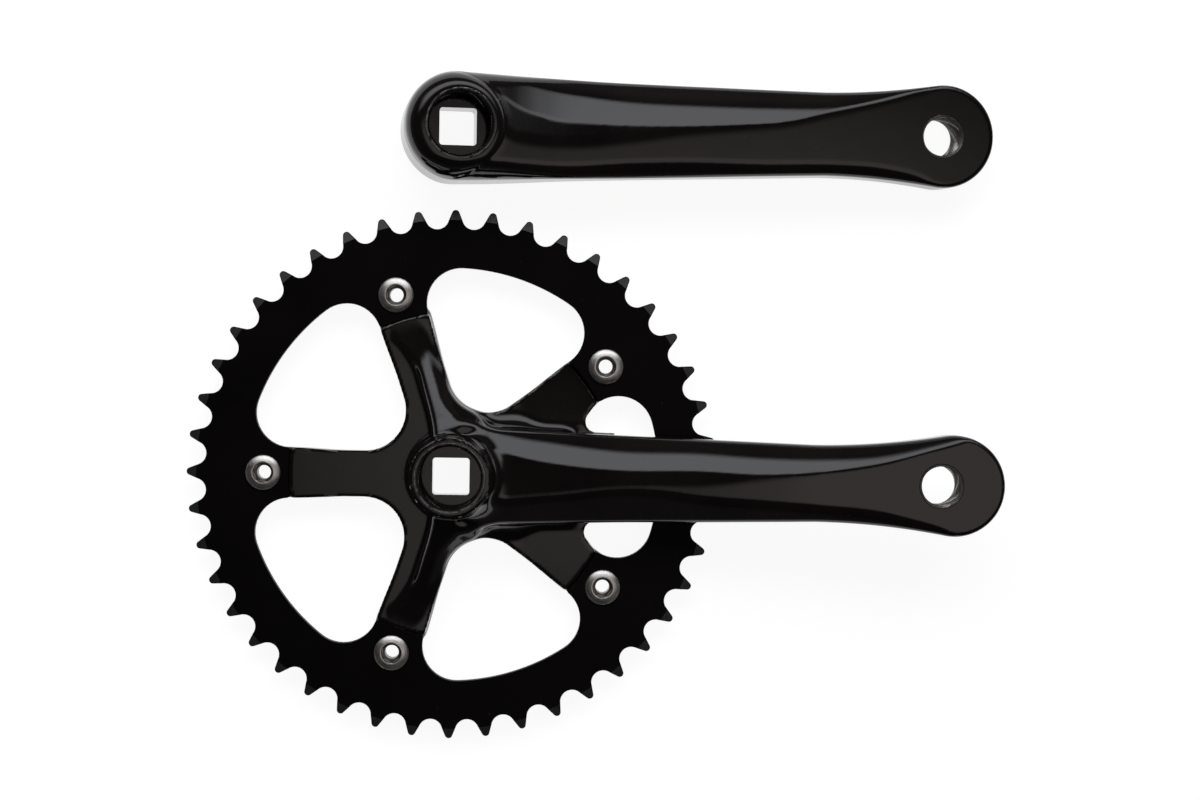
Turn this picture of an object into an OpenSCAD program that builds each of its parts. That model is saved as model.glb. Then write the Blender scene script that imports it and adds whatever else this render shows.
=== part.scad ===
// Square-taper bicycle crankset, laid out as two loose parts with their outer faces up:
// a drive-side crank arm forged in one with its five-arm spider, which carries the chainring
// on five hollow bolts and sleeve nuts, and the left crank arm beside it.
// All sizes are millimetres. The origin is on the drive-side spindle axis, at the inner face
// of the hub. +Z points outwards along the spindle, +X towards the drive-side pedal hole.

/* [Crank arms] */
// Distance from the spindle axis to the pedal axis, both arms
crank_length = 165; // [160:2.5:180]
// Height of both hubs, from inner face to outer face
hub_height = 28.5; // [27:0.5:31]
// Outer face of the pedal end, above the plane of the hub's inner face
eye_top = 35; // [33:0.5:38]
// Thickness of the pedal end
eye_thickness = 13; // [12:0.5:14]

/* [Drive-side arm] */
// Radius of the round pedal end
right_eye_radius = 17; // [16:0.1:18]
// How far the centre of that end lies beyond the pedal axis
right_eye_offset = 4.5; // [0:0.5:5]
// Half of the arm's width at its waist
right_waist = 12.8; // [12:0.1:14]
// Half of the arm's width where it leaves the hub
right_root = 16.8; // [15.5:0.1:17.5]

/* [Left arm] */
// Radius of the hub
left_hub_radius = 18.4; // [17.5:0.1:19.5]
// Radius of the round pedal end
left_eye_radius = 17.6; // [16.5:0.1:18.5]
// How far the centre of that end lies beyond the pedal axis
left_eye_offset = 0.6; // [0:0.2:5]
// Half of the arm's width at its waist
left_waist = 14.4; // [13.5:0.1:15.5]
// Place of the left hub along X
left_x = -1.3; // [-20:0.1:20]
// Place of the left hub along Y
left_y = 119; // [115:0.5:160]

/* [Chainring] */
// Number of teeth
teeth = 44; // [42:1:52]
// Thickness of the plate
ring_thickness = 3; // [2.6:0.1:3.2]
// Width of the rim between the tooth roots and the windows
rim_width = 13.4; // [12:0.1:16]
// Width of a chainring tab and of a spider arm
tab_width = 17.4; // [16:0.1:18]
// Diameter of the circle through the five bolts
bolt_circle = 130; // [128:1:132]

/* [Hardware] */
// Diameter of a bolt's head
bolt_head_d = 12; // [11:0.1:13]
// Width across the flats of a bolt's hexagon socket
hex_key = 6; // [5:0.5:6]
// Diameter of a nut's flange
nut_flange_d = 12.4; // [11.5:0.1:13]

/* [Hidden] */
$fn = 96;

// Heights, counted from the plane that the drive side stands on
nut_flange_t = 1.2;
seat_gap = 0.05;
spider_back = nut_flange_t + seat_gap;
tab_front = 5.2;
ring_front = tab_front + ring_thickness;
spider_front = ring_front + 0.3;
web_front = 13;
head_height = 1.7;
head_flat = 0.7;
head_bevel = 1.5;

// Spindle socket: a square that tapers by 2 degrees a side, below a threaded recess
taper = 2;
square_small = 12.65;
recess_depth = 12;
square_depth = hub_height - recess_depth;
square_large = square_small + 2 * square_depth * tan(taper);
recess_r = 10.5;
mouth_r = 11.7;
foot_chamfer = 1;
hub_foot = left_hub_radius - foot_chamfer;
collar_r = mouth_r + 1.2;
shoulder_drop = 9;

// Pedal hole, 9/16 inch thread, at its minor diameter
pedal_r = 6.5;
pedal_mouth_r = 7.4;
eye_back = eye_top - eye_thickness;

// Arms: the outline flares out to the pedal end, and the side view rises from the hub to it.
// The back leaves the ground along back_points, and the face starts root_drop below the hub's.
flare_r = 250;
back_points = [[34, 9.5], [58, 13]];
root_drop = 2.2;
root_end = 16;
face_mid = [52, hub_height - 0.2];
face_late = [crank_length - 75, hub_height + 2.6];
back_late = [crank_length - 45, eye_back - 2.5];
eye_start = crank_length - 15;
face_end = crank_length - 25;

// Bevels along an arm's edges: how far each reaches in from the edge, and how deep it cuts
bevel_run = crank_length - 40;
upper_bevel = [9, 8];
lower_bevel = [6, 6];
bevel_fade = 0.6;
bevel_outside = 15;

// The left arm lies on the edge of its hub's foot and on the back edge of its pedal end
left_end_x = crank_length + left_eye_offset + left_eye_radius;
left_tilt = atan(eye_back / (left_end_x - hub_foot));
left_lift = hub_foot * sin(left_tilt);

// Chainring teeth
chain_pitch = 12.7;
pitch_r = chain_pitch / 2 / sin(180 / teeth);
seat_r = 4.1;
seat_half_angle = 70;
tip_r = pitch_r + 2.5;
bevel_start_r = tip_r - 3.5;
tip_thickness = 1.2;
window_r = pitch_r - seat_r - rim_width;
window_corner = 12;
shoulder_r = 56.3;

// Spider
spider_arms = 5;
arm_step = 360 / spider_arms;
first_arm = arm_step / 2;
bolt_r = bolt_circle / 2;
arm_half_width = tab_width / 2 - 0.3;
spider_corner = 15;
boss_r = 17;
boss_top_r = 13.6;
web_flat_r = 25;
web_foot_r = 34;
shoulder_corner = shoulder_r * [cos(first_arm), sin(first_arm)]
                  + tab_width / 2 * [sin(first_arm), -cos(first_arm)];

// Gussets, as distance out along their spider arm and height; they start clear of the spindle
// axis and sink below the spider's face, so that no two faces coincide
gusset_root = 8;
gusset_start = [17, 20];
gusset_end = [45, 10];
gusset_toe = [shoulder_r - 3, spider_front - 0.6];
gusset_foot = tab_front - 1;
gusset_overlap = 0.8;

// Nooks: small round-nosed openings between the crank arm and the two spider arms beside it
nook_x = 46.2;
nook_y = 19;
nook_r = 3.6;

// Bolts and nuts, M8 x 0.75
sleeve_r = 4.98;
sleeve_hole_r = 5.05;
sleeve_top = ring_front - 1.2;
thread_r = 3.95;
nut_bore_r = 4;
bolt_end = 1.4;
through_r = 2.4;
socket_depth = 3.6;
slot_width = 1.6;
slot_depth = 0.7;

arm_colour = [0.05, 0.05, 0.055];
ring_colour = [0.03, 0.03, 0.032];
steel_colour = [0.72, 0.71, 0.69];

// Points of an arc about c, from angle a0 to a1
function arc(c, r, a0, a1, steps) =
    [for (i = [0:steps]) c + r * [cos(a0 + (a1 - a0) * i / steps), sin(a0 + (a1 - a0) * i / steps)]];

function turned(points, angle) =
    [for (p = points) [p.x * cos(angle) - p.y * sin(angle), p.x * sin(angle) + p.y * cos(angle)]];

function mirrored(points) =
    [for (i = [len(points) - 1:-1:0]) [points[i].x, -points[i].y]];

// Half of an arm's outline: a straight taper from the hub to the waist, an arc that flares out,
// and the round pedal end
function arm_half(root, waist, eye_r, eye_offset) =
    let (eye_x = crank_length + eye_offset,
         flare_x = eye_x - sqrt(pow(flare_r + eye_r, 2) - pow(flare_r + waist, 2)),
         flare_end = asin((eye_x - flare_x) / (flare_r + eye_r)))
    concat([[0, root], [flare_x, waist]],
           arc([flare_x, flare_r + waist], flare_r, -90 + flare_end / 6, -90 + flare_end, 5),
           arc([eye_x, 0], eye_r, 90 + flare_end, 0, 12));

module arm_outline(root, waist, eye_r, eye_offset) {
    half = arm_half(root, waist, eye_r, eye_offset);
    polygon(concat(half, mirrored([for (i = [0:len(half) - 2]) half[i]])));
}

// Side view of an arm without its hub: back edge, then front edge
module arm_profile(end_x) {
    root_z = hub_height - root_drop;
    back = concat([[0, 0], [hub_foot, 0]], back_points,
                  [back_late, [eye_start, eye_back], [end_x, eye_back]]);
    face = [[end_x, eye_top], [face_end, eye_top], face_late, face_mid,
            [root_end, root_z], [0, root_z]];
    polygon(concat(back, face));
}

// A long wedge that takes the upper corner off an arm, deep at the hub and running out near the
// pedal end; side is 1 for the +Y edge and -1 for the -Y edge
module edge_bevel(root, side, size) {
    reach = size.x;
    past = 2;
    start_z = hub_height - root_drop;
    rise = atan((eye_top - start_z) / bevel_run);
    narrowing = atan(reach * bevel_fade / bevel_run);
    low_z = -size.y / reach * (reach + bevel_outside);
    high_z = 20;
    mirror([0, side > 0 ? 0 : 1, 0])
        translate([-past, root, start_z])
            rotate([0, -rise, narrowing])
                rotate([90, 0, 90])
                    linear_extrude(bevel_run + 2 * past)
                        polygon([[-reach, 0], [bevel_outside, low_z],
                                 [bevel_outside, high_z], [-reach, high_z]]);
}

module arm_beam(root, waist, eye_r, eye_offset) {
    difference() {
        intersection() {
            linear_extrude(eye_top + 1) arm_outline(root, waist, eye_r, eye_offset);
            rotate([90, 0, 0])
                linear_extrude(50, center = true)
                    arm_profile(crank_length + eye_offset + eye_r + 1);
        }
        edge_bevel(root, 1, upper_bevel);
        edge_bevel(root, -1, lower_bevel);
    }
}

// Tapered square hole, as the overlap of two wedge-shaped prisms
module square_taper() {
    extra = 1;
    low = square_large / 2 + extra * tan(taper);
    high = square_small / 2 - extra * tan(taper);
    intersection_for(turn = [0, 90]) {
        rotate([90, 0, turn])
            translate([0, 0, -10])
                linear_extrude(20)
                    polygon([[-low, -extra], [low, -extra],
                             [high, square_depth + extra], [-high, square_depth + extra]]);
    }
}

// Everything that is bored into an arm: socket, threaded recess with its countersunk mouth,
// and pedal hole with both mouths countersunk
module arm_bores() {
    square_taper();
    translate([0, 0, square_depth]) cylinder(r = recess_r, h = recess_depth + 1);
    countersink(0, hub_height, recess_r, mouth_r, 1);
    translate([crank_length, 0, eye_back - 1]) cylinder(r = pedal_r, h = eye_thickness + 2);
    countersink(crank_length, eye_top, pedal_r, pedal_mouth_r, 1);
    countersink(crank_length, eye_back, pedal_r, pedal_mouth_r, -1);
}

// Cone that opens a bore of radius r to mouth at the face z; way is 1 for a face that looks up
module countersink(x, z, r, mouth, way) {
    depth = mouth - r;
    past = 0.5;
    translate([x, 0, z])
        mirror([0, 0, way > 0 ? 0 : 1])
            translate([0, 0, -depth])
                cylinder(r1 = r, r2 = mouth + past, h = depth + past);
}

// Hub of the left arm: a chamfered foot, straight wall, rounded shoulder and flat collar
module left_hub() {
    r = left_hub_radius;
    roll = r - collar_r;
    rotate_extrude()
        polygon(concat([[0, 0], [hub_foot, 0], [r, foot_chamfer]],
                       [for (p = arc([0, 0], 1, 0, 90, 8))
                           [collar_r + roll * p.x, hub_height - shoulder_drop * (1 - p.y)]],
                       [[0, hub_height]]));
}

module left_crank_arm() {
    color(arm_colour)
        translate([left_x, left_y, left_lift])
            rotate([0, left_tilt, 0])
                difference() {
                    union() {
                        left_hub();
                        arm_beam(left_hub_radius, left_waist, left_eye_radius, left_eye_offset);
                    }
                    arm_bores();
                }
}

// Outline of the spider: five arms with round ends, joined by round inner corners
function spider_points() =
    let (corner = (arm_half_width + spider_corner) / sin(arm_step / 2),
         sweep = 90 - arm_step / 2)
    [for (k = [0:spider_arms - 1])
        let (along = first_arm + k * arm_step,
             between = along + arm_step / 2,
             tab = arc([bolt_r, 0], arm_half_width, -90, 90, 10),
             fillet = arc([corner, 0], spider_corner, 180 + sweep, 180 - sweep, 10))
        for (p = concat(turned(tab, along), turned(fillet, between))) p];

// Web between the two spider arms beside the crank arm, as far as the round nooks of the
// two small openings
module nook_web() {
    upper = concat([[20, 24], shoulder_corner],
                   arc([nook_x + nook_r, nook_y], nook_r, 150, 250, 5), [[nook_x + 4, 14]]);
    polygon(concat(upper, mirrored(upper)));
}

// Section of the spider: deep at the hub, thinner along the arms, and stepped down at the
// shoulder where the chainring sits
module spider_section() {
    outside_r = bolt_r + tab_width;
    step_r = shoulder_r - seat_gap;
    rotate_extrude()
        polygon([[0, 0], [hub_foot, 0], [hub_foot + foot_chamfer, spider_back],
                 [outside_r, spider_back], [outside_r, tab_front], [step_r, tab_front],
                 [step_r, spider_front], [web_foot_r, spider_front],
                 [web_flat_r, web_front], [0, web_front]]);
}

module spider() {
    intersection() {
        linear_extrude(web_front + 1) {
            union() {
                polygon(spider_points());
                nook_web();
            }
        }
        spider_section();
    }
    translate([0, 0, tab_front]) cylinder(r1 = boss_r, r2 = boss_top_r, h = hub_height - tab_front);
}

// Raised half of a spider arm beside the hub, which runs down from the crank arm's shoulder to
// the chainring; side is 1 for the arm on the +Y side and -1 for the one on the -Y side
module gusset(side) {
    intersection() {
        translate([0, 0, gusset_foot]) linear_extrude(hub_height) polygon(spider_points());
        mirror([0, side > 0 ? 0 : 1, 0])
            rotate([90, 0, first_arm + arm_step])
                translate([0, 0, -gusset_overlap])
                    linear_extrude(tab_width)
                        polygon([[gusset_root, gusset_foot], [gusset_toe.x, gusset_foot], gusset_toe,
                                 gusset_end, gusset_start, [gusset_root, gusset_start.y]]);
    }
}

module at_bolts() {
    for (k = [0:spider_arms - 1]) at_bolt(k + 1) children();
}

// Bolts are counted clockwise from the spider arm left of the crank arm
module at_bolt(number) {
    rotate([0, 0, 180 - arm_step * (number - 1)]) translate([bolt_r, 0, 0]) children();
}

module right_crank_arm() {
    color(arm_colour)
        difference() {
            union() {
                spider();
                arm_beam(right_root, right_waist, right_eye_radius, right_eye_offset);
                gusset(1);
                gusset(-1);
            }
            arm_bores();
            at_bolts() cylinder(r = sleeve_hole_r, h = tab_front + 1);
        }
}

// Gap between two teeth: round roller seat and straight flanks
module tooth_gap() {
    flank = 8;
    seat = arc([pitch_r, 0], seat_r, 180 - seat_half_angle, 180 + seat_half_angle, 12);
    top = seat[0] + flank * [sin(seat_half_angle), cos(seat_half_angle)];
    polygon(concat([top], seat, [[top.x, -top.y]]));
}

// Half of one tab's edge, up to the window beside it
function tab_half() =
    let (half = tab_width / 2,
         corner_y = half + window_corner,
         corner = [sqrt(pow(window_r - window_corner, 2) - pow(corner_y, 2)), corner_y],
         lean = atan(corner.y / corner.x))
    concat(arc([0, 0], shoulder_r, 2, asin(half / shoulder_r), 4),
           arc(corner, window_corner, -90 + 4, lean, 10),
           arc([0, 0], window_r, lean + 2, arm_step / 2 - 1, 6));

// The chainring's inner edge, with its five tabs
module ring_opening() {
    half = tab_half();
    polygon([for (k = [0:spider_arms - 1])
        for (p = turned(concat(mirrored(half), half), first_arm + k * arm_step)) p]);
}

// Section of the chainring: a flat plate that thins towards the tooth tips on both faces
module ring_section() {
    middle = tab_front + ring_thickness / 2;
    rotate_extrude()
        polygon([[shoulder_r - 10, tab_front], [bevel_start_r, tab_front],
                 [tip_r, middle - tip_thickness / 2], [tip_r, middle + tip_thickness / 2],
                 [bevel_start_r, ring_front], [shoulder_r - 10, ring_front]]);
}

module chainring() {
    color(ring_colour)
        difference() {
            ring_section();
            translate([0, 0, tab_front - 1]) linear_extrude(ring_thickness + 2) ring_opening();
            for (k = [0:teeth - 1]) {
                rotate([0, 0, (k + 0.5) * 360 / teeth])
                    translate([0, 0, tab_front - 1])
                        linear_extrude(ring_thickness + 2)
                            tooth_gap();
            }
            at_bolts()
                translate([0, 0, tab_front - 1])
                    cylinder(r = sleeve_hole_r, h = ring_thickness + 2);
        }
}

module chainring_bolt(number) {
    head_z = ring_front + seat_gap;
    color(steel_colour)
        at_bolt(number)
            difference() {
                union() {
                    translate([0, 0, head_z]) cylinder(d = bolt_head_d, h = head_flat);
                    translate([0, 0, head_z + head_flat])
                        cylinder(r1 = bolt_head_d / 2, r2 = bolt_head_d / 2 - head_bevel,
                                 h = head_height - head_flat);
                    translate([0, 0, bolt_end]) cylinder(r = thread_r, h = head_z - bolt_end + 0.1);
                }
                translate([0, 0, head_z + head_height - socket_depth])
                    cylinder(d = hex_key / cos(30), h = socket_depth + 1, $fn = 6);
                translate([0, 0, bolt_end - 1]) cylinder(r = through_r, h = head_z + head_height);
            }
}

module chainring_nut(number) {
    color(steel_colour)
        at_bolt(number)
            difference() {
                union() {
                    cylinder(d = nut_flange_d, h = nut_flange_t);
                    cylinder(r = sleeve_r, h = sleeve_top);
                }
                translate([0, 0, -1]) cylinder(r = nut_bore_r, h = sleeve_top + 2);
                translate([-slot_width / 2, -nut_flange_d, -1])
                    cube([slot_width, 2 * nut_flange_d, slot_depth + 1]);
            }
}

right_crank_arm();
chainring();
chainring_bolt(1);  // chainring_bolt_1
chainring_bolt(2);  // chainring_bolt_2
chainring_bolt(3);  // chainring_bolt_3
chainring_bolt(4);  // chainring_bolt_4
chainring_bolt(5);  // chainring_bolt_5
chainring_nut(1);  // chainring_nut_1
chainring_nut(2);  // chainring_nut_2
chainring_nut(3);  // chainring_nut_3
chainring_nut(4);  // chainring_nut_4
chainring_nut(5);  // chainring_nut_5
left_crank_arm();
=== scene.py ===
"""Bicycle crankset: gloss black arms, satin chainring and turned steel chainring hardware.

Shapes are worked out in millimetres, in the row frame or in an arm's own frame, and turned
into metres when a mesh is made. An arm is a field, negative inside, whose zero surface is meshed.
"""
import math

import bpy
import numpy as np
from mathutils import Matrix, Vector, geometry


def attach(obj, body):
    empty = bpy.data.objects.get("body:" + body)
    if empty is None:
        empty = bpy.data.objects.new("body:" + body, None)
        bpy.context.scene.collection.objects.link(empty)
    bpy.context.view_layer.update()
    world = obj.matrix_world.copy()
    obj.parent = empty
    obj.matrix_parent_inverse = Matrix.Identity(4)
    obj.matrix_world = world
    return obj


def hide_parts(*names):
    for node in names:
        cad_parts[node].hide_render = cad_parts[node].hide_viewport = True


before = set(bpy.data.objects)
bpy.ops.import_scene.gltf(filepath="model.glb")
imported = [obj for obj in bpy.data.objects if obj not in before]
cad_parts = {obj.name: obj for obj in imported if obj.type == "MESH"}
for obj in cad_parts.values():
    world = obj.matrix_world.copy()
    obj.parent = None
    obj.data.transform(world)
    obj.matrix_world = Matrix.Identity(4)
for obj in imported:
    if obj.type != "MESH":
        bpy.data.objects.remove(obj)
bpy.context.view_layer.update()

MM = 0.001

# Driving dimensions, the same as in the CAD model
CRANK = 165.0
HUB_H = 28.5
EYE_TOP = 35.0
EYE_BACK = 22.0
HUB_FOOT = 17.4
LEFT_PLACE = (-1.3, 119.0)
LEFT_EYE = (0.6, 17.6)
RIGHT_EYE = (4.5, 17.0)
LEFT_TILT = math.atan(EYE_BACK / (CRANK + sum(LEFT_EYE) - HUB_FOOT))
LEFT_LIFT = HUB_FOOT * math.sin(LEFT_TILT)
SQUARE_SMALL = 12.65
SQUARE_DEPTH = 16.5
SQUARE_TAPER = math.radians(2)
RECESS_R = 10.5
MOUTH_R = 11.7
PEDAL_R = 6.5
PEDAL_MOUTH_R = 7.4
SPIDER_BACK = 1.25
TAB_FRONT = 5.2
SPIDER_FRONT = 8.5
SHOULDER_R = 56.25
BOLT_R = 65.0
ARMS = 5
TAB_ANGLES = [36 + 72 * k for k in range(ARMS)]
SLEEVE_HOLE_R = 5.05
TEETH = 44
RING_T = 3.0
RING_FRONT = TAB_FRONT + RING_T
PITCH_R = 12.7 / 2 / math.sin(math.pi / TEETH)
SEAT_R = 4.1
TIP_R = PITCH_R + 2.5
BEVEL_WIDTH = 3.5
BEVEL_R = TIP_R - BEVEL_WIDTH
TAPER = 0.9 / BEVEL_WIDTH
WINDOW_R = PITCH_R - SEAT_R - 13.4
TAB_HALF = 8.7
WINDOW_CORNER = 12.0

# Details that only the looks have: grid cells of the arms, threads (depth, pitch) and the rows
# of points in one turn of them, rounding of the ring's edges, reach of a chamfer's cutter
CELL, QUICK_CELL = 0.72, 1.1
HUB_THREAD = (0.5, 1.0)
PEDAL_THREAD = (0.62, 1.27)
ROWS_PER_TURN = 6
EDGE_ROUND, HOLE_ROUND = 0.28, 0.15
CHAMFER_OVERLAP = 0.6


# ---------------------------------------------------------------- fields and meshing

def smax(a, b, k):
    """Larger of two fields, rounded where they are within k of each other."""
    h = np.maximum(k - np.abs(a - b), 0.0)
    return np.maximum(a, b) + h * h / (4 * k)


def smin(a, b, k):
    """Smaller of two fields, filleted where they are within k of each other."""
    return -smax(-a, -b, k)


def step(x, lo, hi):
    """Smooth rise from 0 at lo to 1 at hi."""
    t = np.clip((x - lo) / (hi - lo), 0.0, 1.0)
    return t * t * (3 - 2 * t)


def curve(x, points):
    """Smooth curve through a few given points (x, value), level beyond its ends."""
    xs, ys = np.array(points, float).T
    slope = np.gradient(ys, xs)
    slope[0] = slope[-1] = 0.0
    x = np.clip(x, xs[0], xs[-1])
    i = np.clip(np.searchsorted(xs, x, side="right") - 1, 0, len(xs) - 2)
    h = xs[i + 1] - xs[i]
    t = (x - xs[i]) / h
    a = ys[i] * (1 + 2 * t) * (1 - t) ** 2 + ys[i + 1] * t * t * (3 - 2 * t)
    return a + h * (slope[i] * t * (1 - t) ** 2 + slope[i + 1] * t * t * (t - 1))


# The eight corners of a grid cell
CORNERS = [(i, j, k) for i in (0, 1) for j in (0, 1) for k in (0, 1)]


def surface_net(field, low, high, cell):
    """Closed quad mesh of the zero surface of field inside a box, with its points on the surface."""
    axes = [np.arange(lo, hi + cell, cell) for lo, hi in zip(low, high)]
    f = np.asarray(field(*np.ix_(*axes)), np.float32)
    inside = f < 0
    n = [len(a) - 1 for a in axes]
    count = np.zeros(n, np.int8)
    for i, j, k in CORNERS:
        count += inside[i:n[0] + i, j:n[1] + j, k:n[2] + k]
    cells = np.argwhere((count > 0) & (count < 8))
    index = np.full(n, -1, np.int64)
    index[tuple(cells.T)] = np.arange(len(cells))
    points = cell_points(f, cells) * cell + np.array([a[0] for a in axes])
    return settle(field, points, cell), cell_quads(inside, index)


def cell_points(f, cells):
    """One point in each cell that the surface crosses: the mean of the crossings of its edges."""
    total = np.zeros((len(cells), 3))
    hits = np.zeros(len(cells))
    for a in range(8):
        for b in range(a + 1, 8):
            ca, cb = np.array(CORNERS[a]), np.array(CORNERS[b])
            if np.abs(ca - cb).sum() != 1:
                continue
            fa = f[tuple((cells + ca).T)].astype(float)
            fb = f[tuple((cells + cb).T)].astype(float)
            cross = (fa < 0) != (fb < 0)
            t = np.where(cross, fa / np.where(cross, fa - fb, 1.0), 0.0)
            total += np.where(cross[:, None], ca + t[:, None] * (cb - ca), 0.0)
            hits += cross
    return cells + total / hits[:, None]


def cell_quads(inside, index):
    """A quad between the four cells round each grid edge that the surface crosses."""
    n = index.shape
    quads = []
    for axis in range(3):
        u, v = (axis + 1) % 3, (axis + 2) % 3
        shape = [slice(None)] * 3
        shape[axis] = slice(0, n[axis])
        shape[u] = slice(1, n[u])
        shape[v] = slice(1, n[v])
        after = list(shape)
        after[axis] = slice(1, n[axis] + 1)
        first, second = inside[tuple(shape)], inside[tuple(after)]
        for sign, mask in ((1, first & ~second), (-1, ~first & second)):
            at = np.argwhere(mask)
            at[:, u] += 1
            at[:, v] += 1
            loop = []
            for du, dv in ((-1, -1), (0, -1), (0, 0), (-1, 0)):
                p = at.copy()
                p[:, u] += du
                p[:, v] += dv
                loop.append(index[tuple(p.T)])
            quads.append(np.stack(loop if sign > 0 else loop[::-1], 1))
    return np.concatenate(quads)


def gradient(field, p, e=0.02):
    """Slope of the field at each point, by central differences."""
    g = np.zeros_like(p)
    for axis in range(3):
        d = np.zeros(3)
        d[axis] = e
        g[:, axis] = (field(*(p + d).T) - field(*(p - d).T)) / (2 * e)
    return g


def settle(field, points, cell):
    """Moves points onto the zero surface along the field's gradient."""
    for _ in range(4):
        g = gradient(field, points)
        move = field(*points.T)[:, None] * g / np.maximum((g * g).sum(1, keepdims=True), 1e-6)
        length = np.linalg.norm(move, axis=1, keepdims=True)
        points = points - move * np.minimum(1.0, 0.4 * cell / np.maximum(length, 1e-9))
    return points


def link(mesh, name):
    obj = bpy.data.objects.new(name, mesh)
    bpy.context.scene.collection.objects.link(obj)
    return obj


def mesh_object(name, points, faces):
    """Mesh object from points in millimetres."""
    mesh = bpy.data.meshes.new(name)
    mesh.from_pydata((np.asarray(points) * MM).tolist(), [], [list(map(int, f)) for f in faces])
    mesh.validate()
    return link(mesh, name)


def cut(obj, cutter):
    """Takes the cutter's solid out of obj."""
    mod = obj.modifiers.new("cut", "BOOLEAN")
    mod.operation = "DIFFERENCE"
    mod.solver = "MANIFOLD"
    mod.object = cutter
    graph = bpy.context.evaluated_depsgraph_get()
    mesh = bpy.data.meshes.new_from_object(obj.evaluated_get(graph))
    obj.modifiers.clear()
    old, obj.data = obj.data, mesh
    bpy.data.meshes.remove(old)
    bpy.data.objects.remove(cutter)


# ---------------------------------------------------------------- cutters and turned solids

def tube_faces(rings, around):
    """Faces of a stack of closed rings of points, capped at both ends."""
    faces = []
    for i in range(rings - 1):
        for j in range(around):
            k = (j + 1) % around
            faces.append((i * around + j, i * around + k, (i + 1) * around + k, (i + 1) * around + j))
    faces.append(tuple(range(around))[::-1])
    faces.append(tuple(range((rings - 1) * around, rings * around)))
    return faces


def ring_stack(radii, heights, around):
    """Points of a stack of rings; each radius is a number or one value for each point around."""
    angle = np.arange(around) * 2 * math.pi / around
    rows = [np.stack([r * np.cos(angle), r * np.sin(angle), np.full(around, z)], 1)
            for r, z in zip(radii, heights)]
    return np.concatenate(rows)


def threaded_cutter(place, low, high, crest_r, thread, around, hand=1):
    """Round cutter that leaves a helical thread between low and high; thread is (depth, pitch)."""
    depth, pitch = thread
    angle = np.arange(around) / around
    rows = int((high - low) / pitch * ROWS_PER_TURN)
    heights = np.linspace(low, high, rows)
    radii = []
    for z in heights:
        phase = (z / pitch - hand * angle) % 1.0
        ridge = np.clip(1.35 * (1 - np.abs(2 * phase - 1)) - 0.15, 0.0, 1.0)
        fade = min(1.0, (z - low) / pitch, (high - z) / pitch)
        radii.append(crest_r + depth * ridge * max(fade, 0.0))
    points = ring_stack(radii, heights, around) + np.array([place[0], place[1], 0.0])
    return mesh_object("cutter", points, tube_faces(rows, around))


def cone_cutter(place, low, high, low_r, high_r, around=128):
    """Round cutter from low_r at height low to high_r at height high."""
    points = ring_stack([low_r, high_r], [low, high], around) + np.array([place[0], place[1], 0.0])
    return mesh_object("cutter", points, tube_faces(2, around))


def square_cutter():
    """Square hole with rounded corners, wider at the back of the arm."""
    extra = 1.5
    corner_r = 1.1
    steps = 6
    rows = []
    for z in (-extra, SQUARE_DEPTH + extra):
        half = SQUARE_SMALL / 2 + (SQUARE_DEPTH - z) * math.tan(SQUARE_TAPER)
        for quarter in range(4):
            for i in range(steps + 1):
                a = math.radians(90 * quarter + 90 * i / steps)
                mid = math.radians(90 * quarter + 45)
                centre = (half - corner_r) * math.sqrt(2)
                rows.append((centre * math.cos(mid) + corner_r * math.cos(a),
                             centre * math.sin(mid) + corner_r * math.sin(a), z))
    return mesh_object("cutter", rows, tube_faces(2, 4 * (steps + 1)))


def bore_arm(obj, hand):
    """Cuts the spindle socket, the threaded recess and the threaded pedal hole into an arm."""
    hub, eye = (0.0, 0.0), (CRANK, 0.0)
    over, past, gap = CHAMFER_OVERLAP, 1.5, 0.02
    half = SQUARE_SMALL / 2
    cut(obj, square_cutter())
    cut(obj, threaded_cutter(hub, SQUARE_DEPTH, HUB_H + past, RECESS_R, HUB_THREAD, 120))
    lip = MOUTH_R - RECESS_R
    cut(obj, cone_cutter(hub, HUB_H - lip, HUB_H + over, RECESS_R + gap, MOUTH_R + over))
    cut(obj, cone_cutter(hub, -over, 0.6, half + 3.2 + over, half + 2.0))
    cut(obj, threaded_cutter(eye, EYE_BACK - past, EYE_TOP + past, PEDAL_R, PEDAL_THREAD, 96, hand))
    lip = PEDAL_MOUTH_R - PEDAL_R
    cut(obj, cone_cutter(eye, EYE_TOP - lip, EYE_TOP + over, PEDAL_R + gap, PEDAL_MOUTH_R + over))
    cut(obj, cone_cutter(eye, EYE_BACK - over, EYE_BACK + lip, PEDAL_MOUTH_R + over, PEDAL_R + gap))


# ---------------------------------------------------------------- crank arms

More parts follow.
